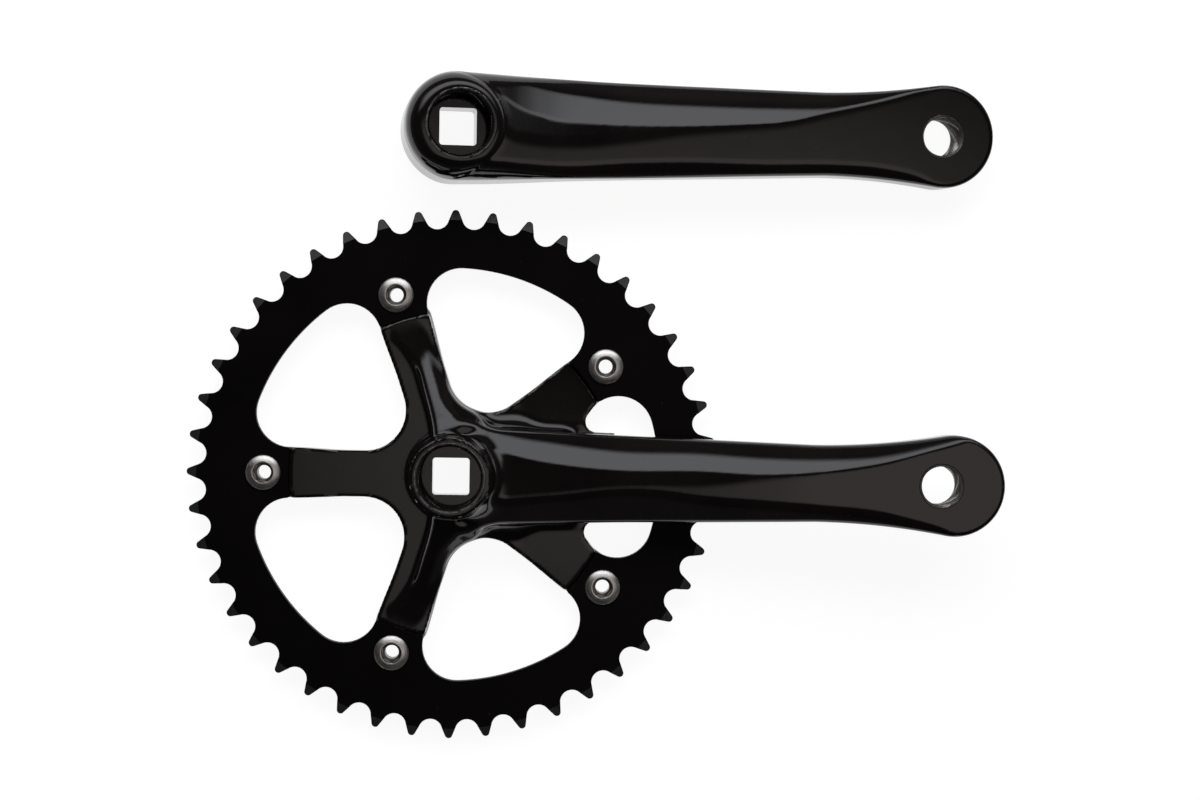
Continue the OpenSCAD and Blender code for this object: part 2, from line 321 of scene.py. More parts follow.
class Arm:
    """Lines of one arm's outer face: where each facet starts across the arm, along its length.

    ridge: edge of the flat face; crease: where the bright bevel starts; strip: where the steep
    outer strip starts; low: where the face rolls over on the other side. crown is the height
    of the flat face, back the height of the back face, and slopes are those of the four facets.
    root and waist are half widths, and root_round is how much rounder the edges are at the root.
    eye is the pedal end's centre, past the pedal axis, and its radius.
    """
    slopes = (0.13, 0.40, 0.80, 0.70)
    root = waist = root_round = 0.0
    edge_round, back_round, low_round = 1.3, 2.2, 1.6
    eye = (0.0, 0.0)
    crown = ridge = crease = strip = low = back = ((0, 0), (1, 0))

    def half_width(self, x):
        """Half width of the beam: straight from root to waist, then flaring to meet the eye."""
        offset, radius = self.eye
        eye_x = CRANK + offset
        flare = 250.0
        flare_x = eye_x - math.sqrt((flare + radius) ** 2 - (flare + self.waist) ** 2)
        straight = self.root + (self.waist - self.root) * np.clip(x / flare_x, 0, 1)
        rise = flare - np.sqrt(flare ** 2 - np.clip(x - flare_x, 0, 60) ** 2)
        return straight + rise

    def outline(self, x, y):
        """Plan of the arm, negative inside."""
        offset, radius = self.eye
        eye_x = CRANK + offset
        beam = np.maximum(np.abs(y) - self.half_width(x), x - eye_x + 2.9)
        beam = np.where(x < 0, np.hypot(x, y) - self.root, beam)
        eye = np.hypot(x - eye_x, y) - radius
        return np.minimum(beam, eye)

    def face(self, x, y):
        """Height of the outer face."""
        ridge, crease = curve(x, self.ridge), curve(x, self.crease)
        strip, low = curve(x, self.strip), curve(x, self.low)
        s1, s2, s3, s4 = self.slopes
        crease, strip = np.maximum(crease, ridge), np.maximum(strip, np.maximum(crease, ridge))
        a = s1 * (y - ridge)
        b = s1 * (crease - ridge) + s2 * (y - crease)
        c = s1 * (crease - ridge) + s2 * (strip - crease) + s3 * (y - strip)
        fall = smax(smax(smax(0.0 * y, a, 0.35), b, 0.12), c, 0.8)
        return curve(x, self.crown) - smax(fall, s4 * (low - y), self.low_round)

    def field(self, x, y, z):
        top = (z - self.face(x, y)) * 0.85
        side = self.outline(x, y)
        body = smax(top, side, self.edge_round + self.root_round * (1 - step(x, 4.0, 40.0)))
        return smax(body, curve(x, self.back) - z, self.back_round)


class LeftArm(Arm):
    root, waist, root_round = 18.4, 14.4, 5.0
    eye = LEFT_EYE
    hub_r = 18.4
    crown = ((-20, 28.4), (0, 28.4), (13, 28.1), (26, 27.0), (40, 26.2), (54, 27.0), (75, 29.5),
             (100, 32.9), (120, 34.7), (135, 35.0), (190, 35.0))
    ridge = ((0, 2), (20, -4.5), (40, -5.4), (58, -3.4), (75, -0.7), (95, 1.5), (110, 3.1),
             (127, 7.3), (144, 11.8), (160, 16.8), (175, 22))
    crease = ((0, 14.8), (12, 10.5), (20, 6.0), (30, 2.8), (46, 1.7), (70, 1.4), (92, 1.9),
              (110, 3.3), (127, 7.4), (144, 11.9), (160, 16.9), (175, 22))
    strip = ((0, 18.4), (16, 16.8), (35, 13.2), (58, 10.3), (81, 9.3), (104, 8.9), (127, 9.4),
             (144, 12.4), (160, 17.2), (175, 22.5))
    low = ((0, -13), (12, -13.4), (35, -14.2), (58, -12.6), (75, -12.0), (104, -12.2), (127, -11.8),
           (144, -12.6), (156, -14.9), (168, -20))
    back = ((-20, 0.0), (16, 0.0), (24, 3.2), (36, 8.6), (58, 12.8), (90, 16.2), (120, 19.4),
            (142, 21.6), (152, 22.0), (190, 22.0))

    def field(self, x, y, z):
        """Arm and domed hub; beside the arm the hub is only a low collar round its recess."""
        arm = super().field(x, y, z)
        r = np.hypot(x, y)
        collar = MOUTH_R + 0.5
        beside = step(x, -6.0, 14.0)
        edge = self.hub_r - 3.6 * beside
        t = np.clip((r - collar) / (edge - collar), 0.0, 0.995)
        dome = HUB_H - (9.5 - 6.0 * beside) * (1 - np.sqrt(1 - t * t))
        hub = smax(smax((z - dome) * 0.6, r - edge, 1.0), -z, 1.2)
        return smax(smin(hub, arm, 0.8 + 1.4 * beside), -z, 1.0)


class RightArm(Arm):
    slopes = (0.18, 0.42, 0.80, 0.70)
    root, waist = 16.6, 12.9
    eye = RIGHT_EYE
    crown = ((-20, 22.0), (12, 23.4), (40, 26.0), (70, 29.3), (100, 32.4), (122, 34.4),
             (138, 35.0), (190, 35.0))
    ridge = ((0, -8.6), (33, -6.2), (69, -2.5), (84, -2.2), (105, 0.6), (127, 3.9), (144, 6.8),
             (161, 11.6), (175, 16.0), (185, 20))
    crease = ((-20, 16.4), (-3, 15.6), (8, 12.1), (17, 8.9), (27, 6.5), (42, 4.4), (57, 3.4),
              (84, 3.6), (105, 2.9), (127, 4.1), (144, 6.9), (161, 11.8), (175, 16.2), (185, 20.2))
    strip = ((-20, 24), (5, 20.4), (10, 17.3), (20, 14.2), (35, 11.9), (57, 9.5), (84, 9.2),
             (105, 8.1), (127, 8.0), (144, 9.2), (161, 12.9), (175, 16.9), (185, 20.8))
    low = ((0, -8.8), (33, -6.4), (60, -3.6), (69, -3.9), (84, -5.9), (105, -7.2), (127, -8.6),
           (144, -10.2), (155, -12.6), (166, -15.8), (176, -21))
    back = ((-20, 0.0), (14, 0.0), (26, 3.0), (40, 9.5), (58, 13.2), (90, 16.6), (120, 19.4),
            (142, 21.6), (152, 22.0), (190, 22.0))
    boss_r, boss_top_r = 15.4, 13.6
    gusset = ((14, 19.6), (20, 17.6), (32, 13.4), (43, 9.9), (49, 8.6), (53, 7.4), (57, 6.0), (70, 5.0))
    gusset_edge = ((10, -3.0), (16, -1.5), (30, -0.6), (42, -1.2), (48, -3.4), (54, -8.5))
    gusset_strip = 4.4

    def star(self, x, y):
        """Plan of the spider, negative inside: five arms with round inner corners."""
        sector = 2 * math.pi / ARMS
        a = np.arctan2(y, x) - sector / 2
        a = np.abs(a - sector * np.round(a / sector))
        r = np.hypot(x, y)
        u, v = r * np.cos(a), r * np.sin(a)
        corner = 14.0
        half = 8.0 + 0.75 * step(u, 36.0, 55.0)
        centre_v = 8.0 + corner
        centre_u = centre_v / math.tan(sector / 2)
        strip = np.where(u < centre_u, corner - np.hypot(u - centre_u, v - centre_v), v - half)
        return np.where(u > BOLT_R, np.hypot(u - BOLT_R, v) - half, strip)

    def nook(self, x, y):
        """Plan of the web beside the crank arm, cut back by the round-nosed small windows."""
        v = np.abs(y)
        apex = (49.7, 19.2)
        nose = 3.8
        lo, hi = math.radians(-3), math.radians(54)
        mid, half = (lo + hi) / 2, (hi - lo) / 2
        du, dv = x - apex[0], v - apex[1]
        along = du * math.cos(mid) + dv * math.sin(mid)
        across = np.abs(-du * math.sin(mid) + dv * math.cos(mid))
        edge = across * math.cos(half) - along * math.sin(half)
        past = along * math.cos(half) + across * math.sin(half)
        gap = np.where(past > 0, edge, np.hypot(along, across)) - nose
        wedge = np.maximum(v - x * math.tan(math.pi / ARMS), x - 56.0)
        return np.maximum(wedge, -gap)

    def spider(self, x, y, z):
        """Flat spider with its thinner tabs, leaning back a little beside the crank arm."""
        plan = smin(self.star(x, y), self.nook(x, y), 0.5)
        r = np.hypot(x, y)
        lean = np.clip(np.where(y > 0, 0.13, 0.06) * (np.abs(y) - 18.0), 0.0, 2.6) * step(x, 14.0, 26.0)
        front = SPIDER_FRONT - lean
        body = smax(plan, z - front, 0.7)
        body = smax(body, smin(r - SHOULDER_R, z - TAB_FRONT, 0.3), 0.9)
        return smax(body, SPIDER_BACK - z, 0.8)

    def gussets(self, x, y, z):
        """Raised halves of the two spider arms 108 degrees from the crank arm, beside the hub."""
        v = np.abs(y)
        a = math.radians(108)
        along = x * math.cos(a) + v * math.sin(a)
        across = x * math.sin(a) - v * math.cos(a)
        line = curve(along, self.gusset_edge)
        end = math.radians(60)
        outline = self.star(x, y)
        fall = smax(0.0 * x, 0.75 * (outline + self.gusset_strip), 1.2)
        top = (z - curve(along, self.gusset) + fall) * 0.8
        body = smax(top, line - across, 2.4)
        body = smax(body, outline, 0.8)
        body = smax(body, x * math.sin(end) - v * math.cos(end), 7.0)
        body = smax(body, np.maximum(along - SHOULDER_R + 0.2, 6.0 - along), 0.9)
        return smax(body, SPIDER_BACK - z, 0.8)

    def boss(self, x, y, z):
        """Round boss about the spindle, narrower at its top, on a wider foot."""
        r = np.hypot(x, y)
        rise = np.clip((z - 9) / (HUB_H - 9), 0, 1)
        side = r - (self.boss_r - (self.boss_r - self.boss_top_r) * rise)
        body = smax(side, z - HUB_H, 0.7)
        foot = smax(r - 18.2, z - 6.0, 0.5)
        return smax(smin(body, foot, 0.5), -z, 1.0)

    def field(self, x, y, z):
        """Arm, spider and boss, with wide fillets on the arm's side of the boss."""
        arm = super().field(x, y, z)
        arm = smax(smax(arm, -x, 1.3), 4.0 - x - 0.5 * np.abs(y), 3.0)
        plate = smin(self.spider(x, y, z), self.gussets(x, y, z), 2.2)
        near = step(x + 0.3 * np.abs(y), 6.0, 22.0)
        wide = 6.5 - 4.0 * step(x, 20.0, 32.0)
        body = smin(arm, plate, 1.0 + near * wide * (1 - step(x, 46.0, 56.0)))
        hub = self.boss(x, y, z)
        return smax(smin(body, hub, 1.0 + 6.0 * step(x, 4.0, 12.0)), -z, 1.0)


def make_arm(name, arm, low, high, hand):
    """Meshes an arm inside the box low to high; hand is 1 for a right pedal thread, -1 for a left."""
    cell = CELL
    points, quads = surface_net(arm.field, low, high, cell)
    obj = mesh_object(name, points, quads)
    bore_arm(obj, hand)
    return obj


def bore_tabs(obj):
    """Holes for the nuts' sleeves through the spider's five tabs."""
    for angle in TAB_ANGLES:
        place = turned([(BOLT_R, 0.0)], angle)[0]
        cut(obj, cone_cutter(place, -1.0, TAB_FRONT + 6.0, SLEEVE_HOLE_R, SLEEVE_HOLE_R, 64))


def shade(obj, degrees=32):
    """Smooth shading, broken at edges sharper than the angle."""
    mesh = obj.data
    mesh.polygons.foreach_set("use_smooth", [True] * len(mesh.polygons))
    mesh.set_sharp_from_angle(angle=math.radians(degrees))


# ---------------------------------------------------------------- chainring

def arc(centre, r, a0, a1, steps):
    """Points of an arc between two angles in degrees."""
    a = np.radians(np.linspace(a0, a1, steps + 1))
    return np.stack([centre[0] + r * np.cos(a), centre[1] + r * np.sin(a)], 1)


def turned(points, degrees):
    """Points turned about the origin."""
    c, s = math.cos(math.radians(degrees)), math.sin(math.radians(degrees))
    return np.asarray(points) @ np.array([[c, s], [-s, c]])


def tooth_outline():
    """One tooth pitch of the rim, from the middle of a gap to the middle of the next one."""
    half_angle = 70.0
    seat = arc((PITCH_R, 0), SEAT_R, 180, 180 - half_angle, 9)
    flank = np.array([math.sin(math.radians(half_angle)), math.cos(math.radians(half_angle))])
    step_deg = 360 / TEETH
    tip_round = 1.3
    centre_r = TIP_R - tip_round
    middle = step_deg / 2
    centre = centre_r * np.array([math.cos(math.radians(middle)), math.sin(math.radians(middle))])
    normal = np.array([-flank[1], flank[0]])
    touch = centre - normal * tip_round
    lean = math.degrees(math.atan2(-normal[1], -normal[0]))
    foot = seat[-1]
    line = np.array([foot + (touch - foot) * t for t in (0.2, 0.4, 0.6, 0.8)])
    tip = arc(centre, tip_round, lean, middle, 5)
    left = np.concatenate([seat, line, tip])
    mirror = turned(left, -middle) * np.array([1, -1])
    return np.concatenate([left, turned(mirror, middle)[::-1][1:-1]])


def rim_outline():
    """All the teeth, as one closed outline."""
    tooth = tooth_outline()
    return np.concatenate([turned(tooth, (k + 0.5) * 360 / TEETH) for k in range(TEETH)])


def window_outline():
    """Inner edge of the ring: five tabs, with round corners at their roots."""
    corner_x = math.sqrt((WINDOW_R - WINDOW_CORNER) ** 2 - (TAB_HALF + WINDOW_CORNER) ** 2)
    corner = (corner_x, TAB_HALF + WINDOW_CORNER)
    lean = math.degrees(math.atan2(corner[1], corner[0]))
    edge = math.degrees(math.asin(TAB_HALF / (SHOULDER_R + 0.1)))
    half = np.concatenate([arc((0, 0), SHOULDER_R + 0.1, 0.5, edge - 0.4, 8),
                           arc(corner, WINDOW_CORNER, -86, lean, 14),
                           arc((0, 0), WINDOW_R, lean + 1, 35.5, 12)])
    tab = np.concatenate([(half * np.array([1, -1]))[::-1], half])
    return np.concatenate([turned(tab, angle) for angle in TAB_ANGLES])


def normals_2d(points, outward=1):
    """Normal at each point of a closed outline."""
    ahead, behind = np.roll(points, -1, 0) - points, points - np.roll(points, 1, 0)
    t = ahead / np.linalg.norm(ahead, axis=1, keepdims=True)
    t = t + behind / np.linalg.norm(behind, axis=1, keepdims=True)
    t /= np.linalg.norm(t, axis=1, keepdims=True)
    return outward * np.stack([t[:, 1], -t[:, 0]], 1)


def plate_height(r, side):
    """Height of the ring's front (side 1) or back (side -1) face at radius r."""
    middle = TAB_FRONT + RING_T / 2
    return middle + side * (RING_T / 2 - TAPER * np.maximum(r - BEVEL_R, 0.0))


def edge_rows(outline, way, size):
    """Rows of points up a rounded edge, from the back face to the front one, and their normals."""
    n2 = normals_2d(outline, way)
    wall = np.column_stack([n2, np.zeros(len(n2))])
    rows, normals = [], []
    for side, turn in ((-1, (90, 45, 0)), (1, (0, 45, 90))):
        for degrees in turn:
            c, s = math.cos(math.radians(degrees)), math.sin(math.radians(degrees))
            inset = outline - n2 * size * (1 - c)
            r = np.hypot(*inset.T)
            rows.append(np.column_stack([inset, plate_height(r, side) - side * size * (1 - s)]))
            tilt = np.where(r > BEVEL_R + 1e-3, TAPER, 0.0)[:, None]
            radial = np.column_stack([inset / r[:, None], np.zeros(len(r))])
            face_n = radial * tilt + np.array([0, 0, side])
            face_n /= np.linalg.norm(face_n, axis=1, keepdims=True)
            normals.append(wall * c + face_n * s)
    return rows, normals


def make_chainring():
    """Plate with rounded edges: side walls from the outlines, faces filled between them."""
    holes = [turned(arc((BOLT_R, 0), SLEEVE_HOLE_R, 0, 352.5, 47), angle) for angle in TAB_ANGLES]
    loops = [(rim_outline(), 1, EDGE_ROUND), (window_outline(), -1, EDGE_ROUND)]
    loops += [(hole, -1, HOLE_ROUND) for hole in holes]
    points, faces, normals = [], [], []
    edges = {1: [], -1: []}
    for outline, way, size in loops:
        rows, row_normals = edge_rows(outline, way, size)
        base = sum(len(p) for p in points)
        m = len(outline)
        last = len(rows) - 1
        points += rows
        normals += row_normals
        for k in range(last):
            low, high = base + k * m, base + (k + 1) * m
            for i in range(m):
                j = (i + 1) % m
                quad = (low + i, low + j, high + j, high + i)
                faces.append(quad if way > 0 else quad[::-1])
        edges[-1].append((base, m))
        edges[1].append((base + last * m, m))
    points, normals = np.concatenate(points), np.concatenate(normals)
    for side in (-1, 1):
        points, normals, faces = fill_plate(points, normals, faces, edges[side], side)
    mesh = bpy.data.meshes.new("chainring_plate")
    mesh.from_pydata((points * MM).tolist(), [], faces)
    set_plate_normals(mesh, normals)
    return link(mesh, "chainring_plate")


def fill_plate(points, normals, faces, loops, side):
    """Fills one face of the ring between its edge loops, with an edge along the tooth bevels."""
    ids = np.concatenate([np.arange(base, base + m) for base, m in loops])
    flat = [Vector(points[i][:2]) for i in ids]
    rank = {int(v): k for k, v in enumerate(ids)}
    edges = [(rank[base + i], rank[base + (i + 1) % m]) for base, m in loops for i in range(m)]
    around = TEETH * 12
    circle = arc((0, 0), BEVEL_R, 0, 360 - 360 / around, around - 1)
    first = len(flat)
    flat += [Vector(p) for p in circle]
    edges += [(first + i, first + (i + 1) % len(circle)) for i in range(len(circle))]
    out, _, tris, origin, _, _ = geometry.delaunay_2d_cdt(flat, edges, [], 1, 1e-5)
    new_ids = []
    extra, extra_n = [], []
    for k, p in enumerate(out):
        known = [o for o in origin[k] if o < first]
        if known:
            new_ids.append(int(ids[known[0]]))
            continue
        r = p.length
        new_ids.append(len(points) + len(extra))
        extra.append((p.x, p.y, plate_height(r, side)))
        extra_n.append((0, 0, side))
    at = np.array([(p.x, p.y) for p in out])
    rings = [points[base:base + m, :2] for base, m in loops]
    for t in tris:
        c = at[list(t)].mean(0)
        if not inside_loop(c, rings[0]) or any(inside_loop(c, h) for h in rings[1:]):
            continue
        a, b, d = (at[i] for i in t)
        ccw = (b[0] - a[0]) * (d[1] - a[1]) - (b[1] - a[1]) * (d[0] - a[0]) > 0
        tri = [new_ids[i] for i in t]
        faces.append(tuple(tri if ccw == (side > 0) else tri[::-1]))
    if extra:
        points = np.concatenate([points, np.array(extra)])
        normals = np.concatenate([normals, np.array(extra_n, float)])
    return points, normals, faces


def inside_loop(p, loop):
    """Whether a point is inside a closed outline."""
    a, b = loop, np.roll(loop, -1, 0)
    crosses = (a[:, 1] > p[1]) != (b[:, 1] > p[1])
    x = a[:, 0] + (p[1] - a[:, 1]) / np.where(crosses, b[:, 1] - a[:, 1], 1.0) * (b[:, 0] - a[:, 0])
    return bool((crosses & (p[0] < x)).sum() % 2)


def set_plate_normals(mesh, normals):
    """Exact normals: flat and bevelled faces stay flat, the rounded edges turn smoothly."""
    mesh.polygons.foreach_set("use_smooth", [True] * len(mesh.polygons))
    loop_normals = []
    for poly in mesh.polygons:
        if len(poly.vertices) == 3:
            c = poly.center / MM
            r = math.hypot(c.x, c.y)
            side = 1 if poly.normal.z > 0 else -1
            tilt = TAPER if r > BEVEL_R else 0.0
            n = Vector((c.x / r * tilt, c.y / r * tilt, side)).normalized()
            loop_normals += [n] * 3
        else:
            loop_normals += [Vector(normals[v]).normalized() for v in poly.vertices]
    mesh.normals_split_custom_set(loop_normals)


# ---------------------------------------------------------------- bolts and nuts

def lathe(name, profile, around=72, hex_rows=()):
    """Turned solid from a closed profile of (radius, height); rows listed in hex_rows are hexagons."""
    angle = np.arange(around) * 2 * math.pi / around
    sector = math.pi / 3
    folded = np.abs((angle + sector / 2) % sector - sector / 2)
    points = []
    for i, (r, z) in enumerate(profile):
        radius = r / np.cos(sector / 2 - folded) if i in hex_rows else np.full(around, r)
        points += list(np.stack([radius * np.cos(angle), radius * np.sin(angle), np.full(around, z)], 1))
    n = len(profile)
    faces = []
    for i in range(n):
        for j in range(around):
            k, m = (j + 1) % around, (i + 1) % n
            faces.append((i * around + j, i * around + k, m * around + k, m * around + j))
    return mesh_object(name, points, faces)


def bolt_mesh(name):
    """Hollow bolt: dished round head with a broken edge, hexagon socket, fine thread below."""
    seat, pitch, crest_r, root_r = 0.05, 0.75, 3.9, 3.62
    top = 1.7 + seat
    base = RING_FRONT
    profile = [(3.0, base + top - 3.6), (3.0, base + top - 0.12), (3.5, base + top - 0.04),
               (3.7, base + top), (4.0, base + top - 0.03), (5.3, base + top - 0.52),
               (5.75, base + top - 0.74), (5.95, base + top - 0.9), (6.0, base + top - 1.05),
               (6.0, base + seat + 0.15), (5.85, base + seat), (crest_r, base + seat)]
    z = base - 1.0
    while z > 2.3:
        profile += [(crest_r, z), (root_r, z - pitch / 2)]
        z -= pitch
    profile += [(crest_r, 2.0), (3.6, 1.4), (2.4, 1.4), (2.4, base + top - 3.75)]
    return lathe(name, profile, 72, hex_rows=(0, 1))


def nut_mesh(name):
    """Sleeve nut: flange with a broken edge, two driver slots across its back, threaded bore."""
    pitch, crest_r, root_r = 0.75, 4.0, 4.22
    top = RING_FRONT - 1.2
    profile = [(4.35, 0.0), (5.9, 0.0), (6.1, 0.12), (6.2, 0.35), (6.2, 0.95), (6.05, 1.2),
               (4.98, 1.2), (4.98, top - 0.2), (4.8, top), (4.2, top)]
    z = top - 0.5
    while z > 0.9:
        profile += [(crest_r, z), (root_r, z - pitch / 2)]
        z -= pitch
    profile += [(crest_r, 0.4)]
    obj = lathe(name, profile, 72)
    half, deep = 0.8, 0.7
    for side in (-1, 1):
        corners = [(x, side * y, z) for z in (-1.0, deep) for x, y in
                   ((-half, 3.2), (half, 3.2), (half, 7.5), (-half, 7.5))]
        box = mesh_object("slot", corners, tube_faces(2, 4))
        if side < 0:
            box.data.flip_normals()
        cut(obj, box)
    return obj


# ---------------------------------------------------------------- materials

class Nodes:
    """Short way to write a node tree."""

    def __init__(self, name):
        """New material; object is the vector that its textures use."""
        self.mat = bpy.data.materials.new(name)
        self.mat.use_nodes = True
        self.tree = self.mat.node_tree
        self.bsdf = self.tree.nodes["Principled BSDF"]
        self.object = self.add("ShaderNodeTexCoord").outputs["Object"]

    def add(self, kind, links=None, **values):
        node = self.tree.nodes.new(kind)
        for key, value in values.items():
            setattr(node, key, value)
        for key, value in (links or {}).items():
            self.feed(node.inputs[key], value)
        return node

    def feed(self, socket, value):
        if isinstance(value, bpy.types.NodeSocket):
            self.tree.links.new(value, socket)
        else:
            socket.default_value = value

    def math(self, op, a, b=0.0, clamp=False):
        return self.add("ShaderNodeMath", {0: a, 1: b}, operation=op, use_clamp=clamp).outputs[0]

    def noise(self, scale, detail=3.0, rough=0.5, vector=None):
        links = {"Vector": vector or self.object, "Scale": scale, "Detail": detail, "Roughness": rough}
        return self.add("ShaderNodeTexNoise", links).outputs["Fac"]

    def ramp(self, value, lo, hi, out_lo=0.0, out_hi=1.0):
        links = {"Value": value, "From Min": lo, "From Max": hi, "To Min": out_lo, "To Max": out_hi}
        return self.add("ShaderNodeMapRange", links, clamp=True).outputs["Result"]

    def mix(self, factor, a, b):
        node = self.add("ShaderNodeMix", data_type="RGBA")
        self.feed(node.inputs["Factor"], factor)
        for socket in node.inputs:
            if socket.type == "RGBA":
                self.feed(socket, a if socket.name == "A" else b)
        return next(o for o in node.outputs if o.type == "RGBA")

    def specks(self, scale, size, seed_offset=0.0):
        """Scattered small dots: 1 inside a dot."""
        moved = self.add("ShaderNodeMapping", {"Vector": self.object, "Location": (seed_offset,) * 3})
        cells = self.add("ShaderNodeTexVoronoi", {"Vector": moved.outputs[0], "Scale": scale})
        return self.ramp(cells.outputs["Distance"], size, size * 0.6)

    def radius(self):
        """Object coordinates x, y and z, and the distance from the object's Z axis, in metres."""
        xyz = self.add("ShaderNodeSeparateXYZ", {"Vector": self.object})
        x, y, z = xyz.outputs
        r = self.math("SQRT", self.math("ADD", self.math("MULTIPLY", x, x), self.math("MULTIPLY", y, y)))
        return x, y, z, r

    def bump(self, height, strength, distance, normal=None):
        links = {"Height": height, "Strength": strength, "Distance": distance}
        if normal is not None:
            links["Normal"] = normal
        return self.add("ShaderNodeBump", links).outputs["Normal"]

    def set(self, **values):
        for key, value in values.items():
            self.feed(self.bsdf.inputs[key.replace("_", " ")], value)
        return self.mat


def band(n, value, lo, hi, soft):
    """1 where value lies between lo and hi."""
    return n.math("MULTIPLY", n.ramp(value, lo - soft, lo), n.ramp(value, hi + soft, hi))


def black_gloss(name, tilt):
    """Polished black arm: hard gloss, faint polishing waves, dust, and bare metal where tools bite.

    tilt is how far the arm's mesh leans about Y, which is undone here to find its hub and eye.
    """
    n = Nodes(name)
    n.object = n.add("ShaderNodeMapping", {"Vector": n.object, "Rotation": (0.0, -tilt, 0.0)}).outputs[0]
    x, y, z, r = n.radius()
    broad = n.noise(28.0, 3.0)
    fine = n.noise(900.0, 4.0, 0.6)
    scuff = n.noise(420.0, 6.0, 0.7)
    top, mouth, pedal_mouth = HUB_H * MM, MOUTH_R * MM, PEDAL_MOUTH_R * MM
    hub_top = n.ramp(z, top - 0.0016, top - 0.0012)
    rim = n.math("MULTIPLY", band(n, r, mouth - 0.0004, mouth + 0.0001, 0.0001), hub_top)
    worn_rim = n.math("MULTIPLY", rim, n.ramp(scuff, 0.40, 0.55))
    ex = n.math("SUBTRACT", x, CRANK * MM)
    eye_r = n.math("SQRT", n.math("ADD", n.math("MULTIPLY", ex, ex), n.math("MULTIPLY", y, y)))
    thread = n.ramp(eye_r, pedal_mouth - 0.00005, pedal_mouth - 0.0002)
    inner = n.ramp(r, mouth - 0.0005, mouth - 0.0008)
    socket = n.math("MULTIPLY", inner, n.ramp(scuff, 0.60, 0.72, 0.0, 0.30))
    bare = n.math("MAXIMUM", n.math("MAXIMUM", worn_rim, thread), socket, clamp=True)
    dust = n.math("MULTIPLY", n.specks(260.0, 0.035), n.ramp(n.noise(60.0), 0.5, 0.62))
    paint = n.mix(n.ramp(broad, 0.35, 0.65), (0.0062, 0.0046, 0.0044, 1), (0.0110, 0.0082, 0.0078, 1))
    paint = n.mix(dust, paint, (0.16, 0.15, 0.14, 1))
    metal = n.mix(scuff, (0.20, 0.19, 0.18, 1), (0.62, 0.60, 0.58, 1))
    colour = n.mix(bare, paint, metal)
    rough = n.math("ADD", n.ramp(broad, 0.3, 0.7, 0.055, 0.10), n.ramp(fine, 0.4, 0.8, 0.0, 0.05))
    rough = n.math("ADD", rough, n.math("MULTIPLY", bare, 0.24))
    rough = n.math("ADD", rough, n.math("MULTIPLY", dust, 0.4))
    wave = n.bump(broad, 0.10, 0.0006)
    grain = n.bump(n.math("MULTIPLY", scuff, bare), 0.35, 0.00015, wave)
    return n.set(Base_Color=colour, Metallic=bare, Roughness=rough, Normal=grain, IOR=1.5)


def satin_ring():
    """Black anodised plate: matte face, fine turning marks, and dust."""
    n = Nodes("satin_black_ring")
    r = n.radius()[3]
    grain = n.noise(1600.0, 3.0, 0.6)
    cloud = n.noise(35.0, 4.0)
    turning = n.math("SINE", n.math("MULTIPLY", r, 16000.0))
    dust = n.math("MULTIPLY", n.specks(230.0, 0.032, 3.7), n.ramp(n.noise(45.0), 0.5, 0.6))
    colour = n.mix(n.ramp(cloud, 0.3, 0.7), (0.0028, 0.0018, 0.0026, 1), (0.0050, 0.0036, 0.0044, 1))
    colour = n.mix(dust, colour, (0.14, 0.13, 0.13, 1))
    rough = n.math("ADD", n.ramp(cloud, 0.3, 0.7, 0.34, 0.44), n.ramp(grain, 0.3, 0.8, 0.0, 0.08))
    height = n.math("ADD", n.math("MULTIPLY", turning, 0.25), grain)
    return n.set(Base_Color=colour, Roughness=rough, Normal=n.bump(height, 0.12, 0.00005),
                 Specular_IOR_Level=0.06)


def tooth_bevel():
    """Machined tooth bevels: a greyer, shinier black than the plate."""
    n = Nodes("tooth_bevel_grey")
    r = n.radius()[3]
    cloud = n.noise(240.0, 4.0)
    marks = n.math("SINE", n.math("MULTIPLY", r, 21000.0))
    colour = n.mix(cloud, (0.030, 0.031, 0.034, 1), (0.055, 0.056, 0.060, 1))
    rough = n.ramp(cloud, 0.3, 0.7, 0.30, 0.42)
    return n.set(Base_Color=colour, Roughness=rough, Metallic=0.35,
                 Normal=n.bump(n.math("ADD", marks, cloud), 0.15, 0.00004))


def turned_steel(name, dark):
    """Nickel-plated turned steel: concentric tool marks, small scratches, and painted shade darkening
    the colour inside the bore and socket.
    """
    n = Nodes(name)
    r = n.radius()[3]
    marks = n.math("SINE", n.math("MULTIPLY", r, 30000.0))
    wide = n.math("SINE", n.math("MULTIPLY", r, 7000.0))
    cloud = n.noise(500.0, 4.0)
    stretched = n.add("ShaderNodeMapping",
                      {"Vector": n.object, "Scale": (1.0, 7.0, 1.0), "Rotation": (0, 0, 0.6)})
    scratch = n.ramp(n.noise(900.0, 2.0, 0.5, stretched.outputs[0]), 0.66, 0.72)
    bore = 0.00345
    # painted shade: the colour is darkened inside the bore radius, over the bolt's hollow and hex socket
    # walls, where shade falls
    painted_bore_shade = n.math("MULTIPLY", n.ramp(r, bore + 0.0002, bore), 0.93)
    colour = n.mix(cloud, (0.60 * dark, 0.58 * dark, 0.55 * dark, 1),
                   (0.80 * dark, 0.78 * dark, 0.75 * dark, 1))
    # mixes in the painted shade colour over the bore and socket
    colour = n.mix(painted_bore_shade, colour, (0.07, 0.065, 0.06, 1))
    rough = n.math("ADD", n.ramp(cloud, 0.3, 0.7, 0.27, 0.38), n.math("MULTIPLY", scratch, 0.15))
    height = n.math("ADD", n.math("ADD", marks, wide), n.math("MULTIPLY", cloud, 1.5))
    return n.set(Base_Color=colour, Metallic=1.0, Roughness=rough, Normal=n.bump(height, 0.13, 0.00004))


